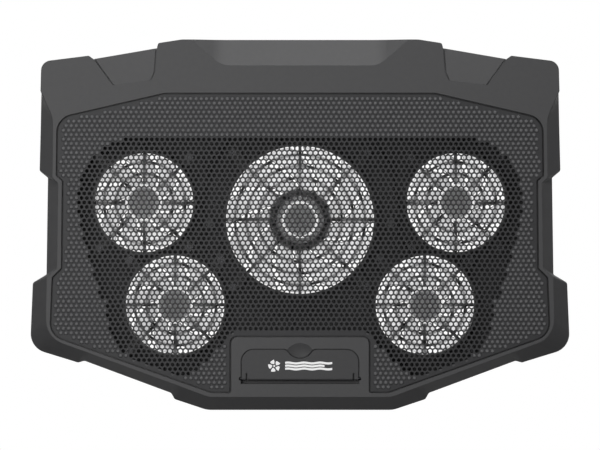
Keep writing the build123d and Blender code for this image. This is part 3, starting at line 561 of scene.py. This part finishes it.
class PAD_OT_grille(bpy.types.Operator):
    """Punched and dimpled sheet on one lattice of hexagonal cells, cut to the CAD sheet's outline"""
    bl_idname = "pad.grille"
    bl_label = "Grille"

    def execute(self, context):
        s = context.scene.pad_grille
        low, high = SHEET_LOW.z, SHEET_HIGH.z
        outline = sheet_outline()
        rise = s.pitch * sqrt(3) / 2
        rows, columns = int(LATTICE_DEPTH / rise), int(LATTICE_LENGTH / s.pitch)
        j, i = np.meshgrid(np.arange(-rows, rows + 1), np.arange(-columns, columns + 1), indexing="ij")
        centres = np.stack([(i + (j % 2) / 2) * s.pitch, j * rise], 2).reshape(-1, 2)
        room = inside(centres, outline)
        room[room] = edge_distance(centres[room], outline) > s.margin
        centres = centres[room]
        punched = field_mask(centres, s)
        colour = tuple(context.scene.pad_finish.grille)
        coat = plastic("grille_coat", colour, 0.42, grain_size=0.35, grain_depth=0.3, tone=0.10, gloss=0.3)
        self.painted_top_highlights(coat, high, s)
        self.punched_field(centres, punched, low, high, s, coat)
        self.dimpled_border(centres, punched, outline, low, high, s, coat)
        return {"FINISHED"}

    def painted_top_highlights(self, coat, high, s):
        """Lightens the coat with height over the sheet: a painted highlight on the dimples' tops."""
        tree = coat.node_tree
        shader = tree.nodes["Principled BSDF"]
        where = node(tree, "ShaderNodeTexCoord")
        level = node(tree, "ShaderNodeSeparateXYZ")
        tree.links.new(where.outputs["Object"], level.inputs[0])
        share = node(tree, "ShaderNodeMapRange")
        share.inputs["From Min"].default_value = high + UNHIGHLIGHTED * s.dimple_height
        share.inputs["From Max"].default_value = high + s.dimple_height
        tree.links.new(level.outputs["Z"], share.inputs["Value"])
        highlight_mix = node(tree, "ShaderNodeMix", data_type="RGBA")
        highlight_mix.inputs["B"].default_value = (*s.highlighted, 1)
        tree.links.new(share.outputs["Result"], highlight_mix.inputs["Factor"])
        tree.links.new(shader.inputs["Base Color"].links[0].from_socket, highlight_mix.inputs["A"])
        tree.links.new(highlight_mix.outputs["Result"], shader.inputs["Base Color"])

    def punched_field(self, centres, punched, low, high, s, coat):
        """Every cell is a hexagonal frame: its outer corners are shared with its neighbours."""
        outer, hole = s.pitch / sqrt(3), s.hole / sqrt(3)
        group = centres[punched]
        points = stacked_cells(group, [(outer, high), (hole, high), (hole, low), (outer, low)])
        n = len(group)
        faces = [ring_quads(n, 4, 0, 1), ring_quads(n, 4, 1, 2), ring_quads(n, 4, 2, 3)]
        rim_points, rim_quads = walls(cell_rim(centres, punched, s.pitch), low, high)
        faces.append(rim_quads + len(points))
        points, faces = welded(np.vstack([points, rim_points]), faces)
        quads = np.vstack(faces)
        add_piece("grille_field", points, quads.tolist(), [coat], "base")

    def dimpled_border(self, centres, punched, outline, low, high, s, coat):
        """Cells with a raised hexagonal dimple, and a plain strip that fills up to the outline.

        The strip is the triangulation between the outline and the jagged edge of the cells, kept where a
        triangle's middle lies in the outline and in no cell.
        """
        outer = s.pitch / sqrt(3)
        group = centres[~punched]
        n = len(group)
        shoulder = (SHOULDER_REACH * s.dimple_base + (1 - SHOULDER_REACH) * s.dimple_top) / sqrt(3)
        rings = [(outer, high), (s.dimple_base / sqrt(3), high),
                 (shoulder, high + SHOULDER_RISE * s.dimple_height),
                 (s.dimple_top / sqrt(3), high + s.dimple_height), (outer, low)]
        points = stacked_cells(group, rings)
        base = (np.arange(n) * 30)[:, None]
        quads = [ring_quads(n, 5, 0, 1), ring_quads(n, 5, 1, 2), ring_quads(n, 5, 2, 3)]
        caps = [base + 18 + np.arange(6), base + 24 + np.arange(6)[::-1]]
        jagged = cell_rim(centres, np.ones(len(centres), bool), s.pitch).reshape(-1, 2)
        flat, (edges,) = welded(at_level(jagged, 0.0), [np.arange(len(jagged)).reshape(-1, 2)])
        ring = len(outline) + np.arange(len(flat))
        sketch = [Vector(p[:2]) for p in np.vstack([outline, flat[:, :2]])]
        along = [(k, (k + 1) % len(outline)) for k in range(len(outline))]
        along += [(int(ring[a]), int(ring[b])) for a, b in edges]
        spots, _, triangles, _, _, _ = delaunay_2d_cdt(sketch, along, [], 0, 1e-7)
        spots = np.array([tuple(p) for p in spots])
        triangles = np.array(triangles)
        middle = spots[triangles].mean(1)
        triangles = triangles[inside(middle, outline) & ~self.in_cells(middle, centres, s.pitch)]
        triangles = upward(spots, triangles)
        start = len(points)
        points = np.vstack([points, at_level(spots, high), at_level(spots, low)])
        flats = [triangles + start, triangles[:, ::-1] + start + len(spots)]
        edge_pairs = np.stack([outline, np.roll(outline, -1, axis=0)], 1)
        for pairs in (edge_pairs, cell_rim(centres, punched, s.pitch)[:, ::-1]):
            more, around = walls(pairs, low, high)
            quads.append(around + len(points))
            points = np.vstack([points, more])
        points, faces = welded(points, quads + caps + flats)
        faces = [face for block in faces for face in block.tolist()]
        piece = add_piece("grille_border", points, faces, [coat], "base")
        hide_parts("mesh_panel")

    @staticmethod
    def in_cells(points, centres, pitch):
        """Which points lie in one of the hexagonal cells: their nearest lattice point is one of the centres."""
        rise = pitch * sqrt(3) / 2
        key = {tuple(k) for k in cell_keys(centres, pitch).tolist()}
        row = np.round(points[:, 1] / rise)
        best = np.full(len(points), np.inf)
        found = np.zeros((len(points), 2))
        for step in (-1, 0, 1):
            j = row + step
            shift = (j % 2) / 2
            x = (np.round(points[:, 0] / pitch - shift) + shift) * pitch
            spot = np.stack([x, j * rise], 1)
            gap = np.hypot(*(points - spot).T)
            closer = gap < best
            best[closer] = gap[closer]
            found[closer] = spot[closer]
        return np.array([tuple(k) in key for k in cell_keys(found, pitch).tolist()])


# ---------------------------------------------------------------- rotors

def turned(profile, steps=72):
    """A closed profile of (radius, level) turned round the axis: a circle for each point, joined by quads."""
    angle = np.arange(steps) * 2 * pi / steps
    r, z = np.array(profile).T
    points = np.stack([np.outer(np.cos(angle), r), np.outer(np.sin(angle), r), np.outer(np.ones(steps), z)], 2)
    k = len(profile)
    i, j = np.meshgrid(np.arange(steps), np.arange(k), indexing="ij")
    i2, j2 = (i + 1) % steps, (j + 1) % k
    quads = np.stack([i * k + j, i2 * k + j, i2 * k + j2, i * k + j2], 2).reshape(-1, 4)
    return points.reshape(-1, 3), quads


def blade_points(root, tip, count, gap_line, gaps, levels, thickness, index):
    """One blade: a helicoid strip between two gap lines, given its thickness along its own normal.

    The angle runs across the strip from one gap to the next, and the gap line sweeps on with the radius. The
    height rises across the strip with a slight camber, a little less at the root. The strip's corners draw in
    towards the tip with the sixth power of the span.
    """
    radial, across = 13, 9
    s, t = np.meshgrid(np.linspace(0, 1, radial), np.linspace(0, 1, across), indexing="ij")
    radius = root + (tip - root) * s
    gap = (gaps[0] + (gaps[1] - gaps[0]) * s) / radius
    pitch = 2 * pi / count
    angle = gap_line(radius) + index * pitch + gap / 2 + t * (pitch - gap)
    round_tip = TIP_ROUNDING * (s ** 6)
    angle = angle + round_tip * (0.5 - t) * pitch
    rise = (t + CAMBER * np.sin(pi * t)) * (ROOT_RISE + (1 - ROOT_RISE) * s)
    height = levels[0] + (levels[1] - levels[0]) * rise
    middle = np.stack([radius * np.cos(angle), radius * np.sin(angle), height], 2)
    normal = np.cross(np.gradient(middle, axis=0), np.gradient(middle, axis=1))
    normal /= np.linalg.norm(normal, axis=2, keepdims=True)
    normal *= np.sign(normal[:, :, 2:3])
    half = normal * thickness / 2
    points = np.concatenate([(middle + half).reshape(-1, 3), (middle - half).reshape(-1, 3)])
    i, j = np.meshgrid(np.arange(radial - 1), np.arange(across - 1), indexing="ij")
    i, j = i.ravel(), j.ravel()
    top = np.stack([i * across + j, (i + 1) * across + j, (i + 1) * across + j + 1, i * across + j + 1], 1)
    under = top[:, ::-1] + radial * across
    rim = np.concatenate([
        np.arange(radial) * across, (radial - 1) * across + np.arange(1, across),
        np.arange(radial - 2, -1, -1) * across + across - 1, np.arange(across - 2, 0, -1)])
    nxt = np.roll(rim, -1)
    edge = np.stack([rim, rim + radial * across, nxt + radial * across, nxt], 1)
    return points, np.vstack([top, under]), edge


class PAD_OT_rotors(bpy.types.Operator):
    """Translucent rotors: a hub cup and its swept blades, in the place of the plain CAD ones"""
    bl_idname = "pad.rotors"
    bl_label = "Rotors"

    def execute(self, context):
        s = context.scene.pad_rotor
        materials = [
            milky("rotor_milk", tuple(s.milk), clear=0.86, roughness=0.5, root=0.72),
            # the blades' rims: a dark copy of the milky plastic, painted shade where the thin edges look dark
            milky("rotor_edge_painted_shade", (0.10, 0.10, 0.105), clear=0.3, roughness=0.35),
            # the hub's shoulder and top rim: a whiter copy of the cup's plastic with a painted glow, a painted
            # highlight ring
            painted_glow(plastic("rotor_hub_painted_highlight", (0.9, 0.9, 0.9), 0.4, 0.9, 0.05, 0.03, 0.0), 0.7),
            milky("rotor_hub", tuple(s.cup), clear=0.45, roughness=0.4)]
        for fan in FANS:
            turn, reference, sweep = ROTOR_TURNS[fan]
            self.rotor(fan, radians(turn), reference * MM, radians(sweep) / MM, s, materials)
        return {"FINISHED"}

    def rotor(self, fan, turn, reference, sweep, s, materials):
        """Hub turned from its profile, blades as helicoid strips from the hub to the tip.

        The large rotor has a flange round its cup, and its blades start there.
        """
        low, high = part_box(f"{fan}_fan_impeller")
        yoke_low, yoke_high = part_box(f"{fan}_fan_yoke")
        large = fan == "centre"
        tip = (high.x - low.x) / 2
        inner = (yoke_high.x - yoke_low.x) / 2 + HUB_GAP
        hub = inner + HUB_WALL
        floor, cap = low.z, high.z
        under = yoke_high.z + HUB_GAP
        lip, inset = inner + LIP_FOOT, CORNER / 2
        profile = [(hub, floor), (hub, cap - 3.5 * CORNER), (hub - CORNER, cap - CORNER),
                   (hub - 2 * CORNER, cap), (lip, cap), (lip - CORNER, cap - TOP_RECESS),
                   (AXIS, cap - TOP_RECESS), (AXIS, under), (inner - inset, under), (inner, under - inset),
                   (inner, floor)]
        points, quads = turned(profile)
        cup = np.tile([CUP] + [HUB_HIGHLIGHT] * 4 + [CUP] * 6, len(quads) // len(profile))
        parts, faces, tags, span = [points], [quads], [cup], [np.ones(len(points))]
        start = len(points)
        root = hub - CORNER
        if large:
            rim = hub - inset
            points, quads = turned([
                (FLANGE, floor + FLANGE_FOOT), (FLANGE, cap - FLANGE_TOP[0]), (rim, cap - FLANGE_TOP[1]),
                (rim, cap - FLANGE_UNDER[1]), (FLANGE - FLANGE_WALL, cap - FLANGE_UNDER[0]),
                (FLANGE - FLANGE_WALL, floor + FLANGE_FOOT)])
            parts.append(points)
            faces.append(quads + start)
            tags.append(np.full(len(quads), CUP))
            span.append(np.ones(len(points)))
            start += len(points)
            root = FLANGE - ROOT_OVERLAP
        blades = s.large_blades if large else s.small_blades
        levels = (floor + BLADE_FOOT, cap - (LARGE_BLADE_DROP if large else SMALL_BLADE_DROP))
        for index in range(blades):
            points, skin, edge = blade_points(
                root, tip, blades, lambda r: turn + sweep * (r - reference), (s.root_gap, s.tip_gap), levels,
                s.thickness, index)
            parts.append(points)
            span.append((np.hypot(points[:, 0], points[:, 1]) - root) / (tip - root))
            faces += [skin + start, edge + start]
            tags += [np.full(len(skin), SKIN), np.full(len(edge), SHADED_EDGE)]
            start += len(points)
        x, y = fan_centre(fan)
        points = np.vstack(parts) + (x, y, 0)
        piece = add_piece(f"{fan}_rotor_blades", points, np.vstack(faces).tolist(), materials, f"{fan}_rotor",
                          radians(SHARP), np.concatenate(tags))
        piece.data.attributes.new("span", "FLOAT", "POINT").data.foreach_set("value", np.concatenate(span))
        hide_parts(f"{fan}_fan_impeller")


# ---------------------------------------------------------------- mark on the laptop stop

def thin_plate(outline, low, high):
    """A flat plate of any outline: its two faces and the wall round them."""
    n = len(outline)
    points = np.vstack([np.c_[outline, np.full(n, low)], np.c_[outline, np.full(n, high)]])
    i = np.arange(n)
    j = (i + 1) % n
    sides = np.stack([i, j, j + n, i + n], 1).tolist()
    return points, sides + [i[::-1].tolist(), (i + n).tolist()]


class PAD_OT_mark(bpy.types.Operator):
    """Generic printed sign on the laptop stop: a fan wheel with three lines of air beside it"""
    bl_idname = "pad.mark"
    bl_label = "Mark"

    def execute(self, context):
        low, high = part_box("stop_flap")
        base_y = (low.y + high.y) / 2 - MARK_DROP
        # the print's own white, with a painted glow on top, though it is no lamp
        print_white = painted_glow(plastic("mark_print", (0.95, 0.95, 0.95), 0.5, 0.3, 0.05, 0.03, 0.0), 0.35)
        parts, faces, start = [], [], 0
        for outline in self.wheel(WHEEL_X, base_y) + self.lines(base_y):
            points, sides = thin_plate(outline, high.z - INK_SUNK, high.z + INK_PROUD)
            parts.append(points)
            faces += [[k + start for k in face] for face in sides]
            start += len(points)
        add_piece("stop_flap_mark", np.vstack(parts), faces, [print_white], "laptop_stop")
        return {"FINISHED"}

    def wheel(self, x, y):
        """Five leaf-shaped blades round a small hub: a leaf is two sine arcs that meet at its ends, the leading
        one full and the trailing one shallow, and the hub is a circle.
        """
        t = np.linspace(0, 1, 9)
        full, shallow = 0.78, -0.12
        leaf = np.vstack([np.c_[t, full * np.sin(pi * t ** 0.8)],
                          np.c_[t[::-1], shallow * np.sin(pi * t[::-1])][1:-1]])
        leaf = leaf[::-1] * LEAF_LENGTH + (LEAF_START, 0)
        shapes = []
        for k in range(LEAVES):
            a = k * 2 * pi / LEAVES + FIRST_LEAF
            turn = np.array([[cos(a), sin(a)], [-sin(a), cos(a)]])
            shapes.append(leaf @ turn + (x, y))
        ring = np.linspace(0, 2 * pi, 25)[:-1]
        shapes.append(np.c_[np.cos(ring), np.sin(ring)] * WHEEL_HUB + (x, y))
        return shapes

    def lines(self, y):
        """Three flowing lines: a shallow sine along the length, given half its width to each side."""
        shapes = []
        for k, end in enumerate(LINE_ENDS):
            u = np.linspace(LINE_START, end, 33) * MM
            wave = WAVE_HEIGHT * np.sin((u / MM) * 2 * pi / WAVE_LENGTH)
            middle = y + (1 - k) * LINE_STEP + wave
            shapes.append(np.vstack([np.c_[u, middle - LINE_HALF], np.c_[u, middle + LINE_HALF][::-1]]))
        return shapes


# ---------------------------------------------------------------- finishes of the CAD nodes

class PAD_OT_finishes(bpy.types.Operator):
    """Gives every CAD node its own moulded, coated or metal finish"""
    bl_idname = "pad.finishes"
    bl_label = "Finishes"

    def execute(self, context):
        s = context.scene.pad_finish
        # each with its colour, roughness, grain size, grain depth, change of tone and dust
        shell = plastic("shell_abs", tuple(s.shell), 0.52, 0.55, 0.22, 0.05, 0.04)
        tray = plastic("tray_abs", tuple(s.tray), 0.6, 0.7, 0.3, 0.06, 0.02)
        flap = plastic("flap_abs", tuple(s.flap), 0.5, 0.5, 0.2, 0.05, 0.04)
        frame_black = plastic("fan_frame_pbt", (0.022, 0.022, 0.023), 0.45, 0.8, 0.15, 0.08, 0.03)
        leg = plastic("leg_abs", (0.035, 0.035, 0.037), 0.55, 0.6, 0.25, 0.06, 0.02)
        rubber = plastic("foot_rubber", (0.022, 0.022, 0.022), 0.85, 0.35, 0.6, 0.15, 0.08)
        panel = plastic("panel_abs", (0.026, 0.026, 0.028), 0.38, 0.4, 0.1, 0.05, 0.02)
        dial = plastic("dial_abs", (0.030, 0.030, 0.032), 0.42, 0.4, 0.15, 0.06, 0.02)
        button = plastic("button_abs", (0.055, 0.055, 0.058), 0.35, 0.4, 0.12, 0.05, 0.02)
        board = plastic("board_mask", (0.012, 0.075, 0.03), 0.3, 2.5, 0.2, 0.2, 0.0, coat=0.4)
        part = plastic("part_resin", (0.03, 0.035, 0.05), 0.5, 0.4, 0.2, 0.1, 0.0)
        lead = plastic("lead_sleeve", (0.02, 0.02, 0.02), 0.4, 0.5, 0.1, 0.1, 0.0)
        nylon = plastic("plug_nylon", (0.62, 0.60, 0.54), 0.4, 0.6, 0.1, 0.05, 0.0)
        finishes = {
            "top_cover": shell, "bottom_cover": tray, "stop_flap": flap, "control_panel": panel,
            "control_board": board, "speed_potentiometer": part, "power_switch": part, "speed_dial": dial,
            "power_button": button, "rubber_feet": rubber, "fan_leads": lead, "fan_plugs": nylon,
            "leg_left": leg, "leg_right": leg, "leg_tip_left": rubber, "leg_tip_right": rubber,
            "leg_pins": metal("pin_black_oxide", (0.06, 0.06, 0.065), 0.4),
            "usb_sockets": metal("socket_plate", (0.68, 0.68, 0.70), 0.22),
            "case_screws": metal("case_screw_zinc", (0.10, 0.10, 0.105), 0.35),
        }
        finishes["stop_flap_pins"] = finishes["leg_pins"]
        finishes["fan_screws"] = finishes["case_screws"]
        yoke = metal("yoke_plate", (0.20, 0.20, 0.21), 0.35)
        magnet = plastic("magnet_ferrite", (0.04, 0.04, 0.042), 0.7, 0.3, 0.5, 0.15, 0.0)
        winding = metal("winding_copper", (0.72, 0.33, 0.15), 0.35, 0.5, 0.2)
        bronze = metal("bearing_bronze", (0.55, 0.38, 0.20), 0.45, 0.3, 0.2)
        for fan in FANS:
            finishes.update({
                f"{fan}_fan_frame": frame_black, f"{fan}_fan_yoke": yoke, f"{fan}_fan_magnet": magnet,
                f"{fan}_fan_stator": winding, f"{fan}_fan_bearing": bronze,
                f"{fan}_fan_shaft": finishes["leg_pins"]})
        # the replaced nodes are hidden, and take the shell's finish
        finishes.update(dict.fromkeys(["mesh_panel", *(f"{fan}_fan_impeller" for fan in FANS)], shell))
        for name, material in finishes.items():
            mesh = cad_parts[name].data
            mesh.materials.clear()
            mesh.materials.append(material)
        return {"FINISHED"}


# ---------------------------------------------------------------- stage

def bright_floor():
    """White floor: the camera sees it evenly lit, and the pad gets its bounced light.

    It is clear from below and to shadow rays, so that the pad's underside is seen and lit.
    """
    material, tree, shader = blank_material("stage_white")
    shader.inputs["Base Color"].default_value = (0.86, 0.86, 0.86, 1)
    shader.inputs["Roughness"].default_value = 0.9
    glow = node(tree, "ShaderNodeEmission")
    glow.inputs["Strength"].default_value = 1.0
    path = node(tree, "ShaderNodeLightPath")
    seen = node(tree, "ShaderNodeMath", operation="MAXIMUM")
    tree.links.new(path.outputs["Is Camera Ray"], seen.inputs[0])
    tree.links.new(path.outputs["Is Transmission Ray"], seen.inputs[1])
    mix = node(tree, "ShaderNodeMixShader")
    tree.links.new(seen.outputs[0], mix.inputs[0])
    tree.links.new(shader.outputs[0], mix.inputs[1])
    tree.links.new(glow.outputs[0], mix.inputs[2])
    below = node(tree, "ShaderNodeNewGeometry")
    clear = node(tree, "ShaderNodeBsdfTransparent")
    passes = node(tree, "ShaderNodeMath", operation="MAXIMUM")
    tree.links.new(below.outputs["Backfacing"], passes.inputs[0])
    tree.links.new(path.outputs["Is Shadow Ray"], passes.inputs[1])
    open_below = node(tree, "ShaderNodeMixShader")
    tree.links.new(passes.outputs[0], open_below.inputs[0])
    tree.links.new(mix.outputs[0], open_below.inputs[1])
    tree.links.new(clear.outputs[0], open_below.inputs[2])
    tree.links.new(open_below.outputs[0], tree.nodes["Material Output"].inputs["Surface"])
    return material


def softbox(name, place, size, power):
    """Area light that looks at the middle of the pad."""
    light = bpy.data.lights.new(name, "AREA")
    light.shape = "RECTANGLE"
    light.size, light.size_y = size
    light.energy = power
    lamp = bpy.data.objects.new(name, light)
    lamp.location = place
    lamp.rotation_euler = (PAD_MIDDLE - Vector(place)).to_track_quat("-Z", "Y").to_euler()
    bpy.context.scene.collection.objects.link(lamp)


class PAD_OT_stage(bpy.types.Operator):
    """White floor, soft studio light and the camera straight over the deck"""
    bl_idname = "pad.stage"
    bl_label = "Stage"

    def execute(self, context):
        s = context.scene.pad_stage
        mesh = bpy.data.meshes.new("stage_floor")
        reach = 6.0
        mesh.from_pydata([(-reach, -reach, 0), (reach, -reach, 0), (reach, reach, 0), (-reach, reach, 0)], [],
                         [(0, 1, 2, 3)])
        mesh.materials.append(bright_floor())
        floor = bpy.data.objects.new("stage_floor", mesh)
        # a hair below the feet, so that their soles and the floor aren't one plane
        floor.location.z = -0.02 * MM
        context.scene.collection.objects.link(floor)
        world = bpy.data.worlds.new("stage_world")
        world.use_nodes = True
        world.node_tree.nodes["Background"].inputs["Color"].default_value = (1, 1, 1, 1)
        world.node_tree.nodes["Background"].inputs["Strength"].default_value = 0.06
        context.scene.world = world
        # each light's place, width and depth in metres, and its power in watts
        softbox("key_light", (-0.46, 0.05, 1.46), (0.5, 0.9), 4.8)
        softbox("fill_light", (0.3, -0.9, 1.3), (0.6, 0.6), 1.0)
        softbox("rear_light", (0.0, 1.25, 1.15), (1.6, 0.35), 12.6)
        softbox("under_light", (0.25, 0.45, -1.3), (1.0, 1.0), 14.0)
        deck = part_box("top_cover")[1].z
        camera = bpy.data.cameras.new("camera")
        camera.sensor_width = 36
        camera.lens = s.camera_height * camera.sensor_width / s.view_width
        camera.clip_end = 50
        eye = bpy.data.objects.new("camera", camera)
        eye.location = (0, 0, deck + s.camera_height)
        context.scene.collection.objects.link(eye)
        context.scene.camera = eye
        context.scene.view_settings.view_transform = "Standard"
        return {"FINISHED"}


class PAD_PT_sidebar(bpy.types.Panel):
    """Buttons that build the pad's pieces in order"""
    bl_label = "Laptop cooling pad"
    bl_idname = "PAD_PT_sidebar"
    bl_space_type = "VIEW_3D"
    bl_region_type = "UI"
    bl_category = "Pad"

    def draw(self, context):
        for name in OPERATIONS:
            self.layout.operator(f"pad.{name}")
        for group in SETTINGS:
            for key in getattr(context.scene, group).__annotations__:
                self.layout.prop(getattr(context.scene, group), key)


OPERATIONS = ("finishes", "grille", "rotors", "mark", "stage")
SETTINGS = {"pad_grille": PadGrilleSettings, "pad_rotor": PadRotorSettings, "pad_finish": PadFinishSettings,
            "pad_stage": PadStageSettings}
CLASSES = (*SETTINGS.values(), PAD_OT_finishes, PAD_OT_grille, PAD_OT_rotors, PAD_OT_mark, PAD_OT_stage,
           PAD_PT_sidebar)


def register():
    """Adds the classes and their settings."""
    for cls in CLASSES:
        bpy.utils.register_class(cls)
    for name, group in SETTINGS.items():
        setattr(bpy.types.Scene, name, PointerProperty(type=group))


def unregister():
    """Takes the settings and the classes away again."""
    for name in SETTINGS:
        delattr(bpy.types.Scene, name)
    for cls in reversed(CLASSES):
        bpy.utils.unregister_class(cls)


def main():
    """Builds every piece in order."""
    register()
    for name in OPERATIONS:
        getattr(bpy.ops.pad, name)()


if __name__ == "__main__":
    main()
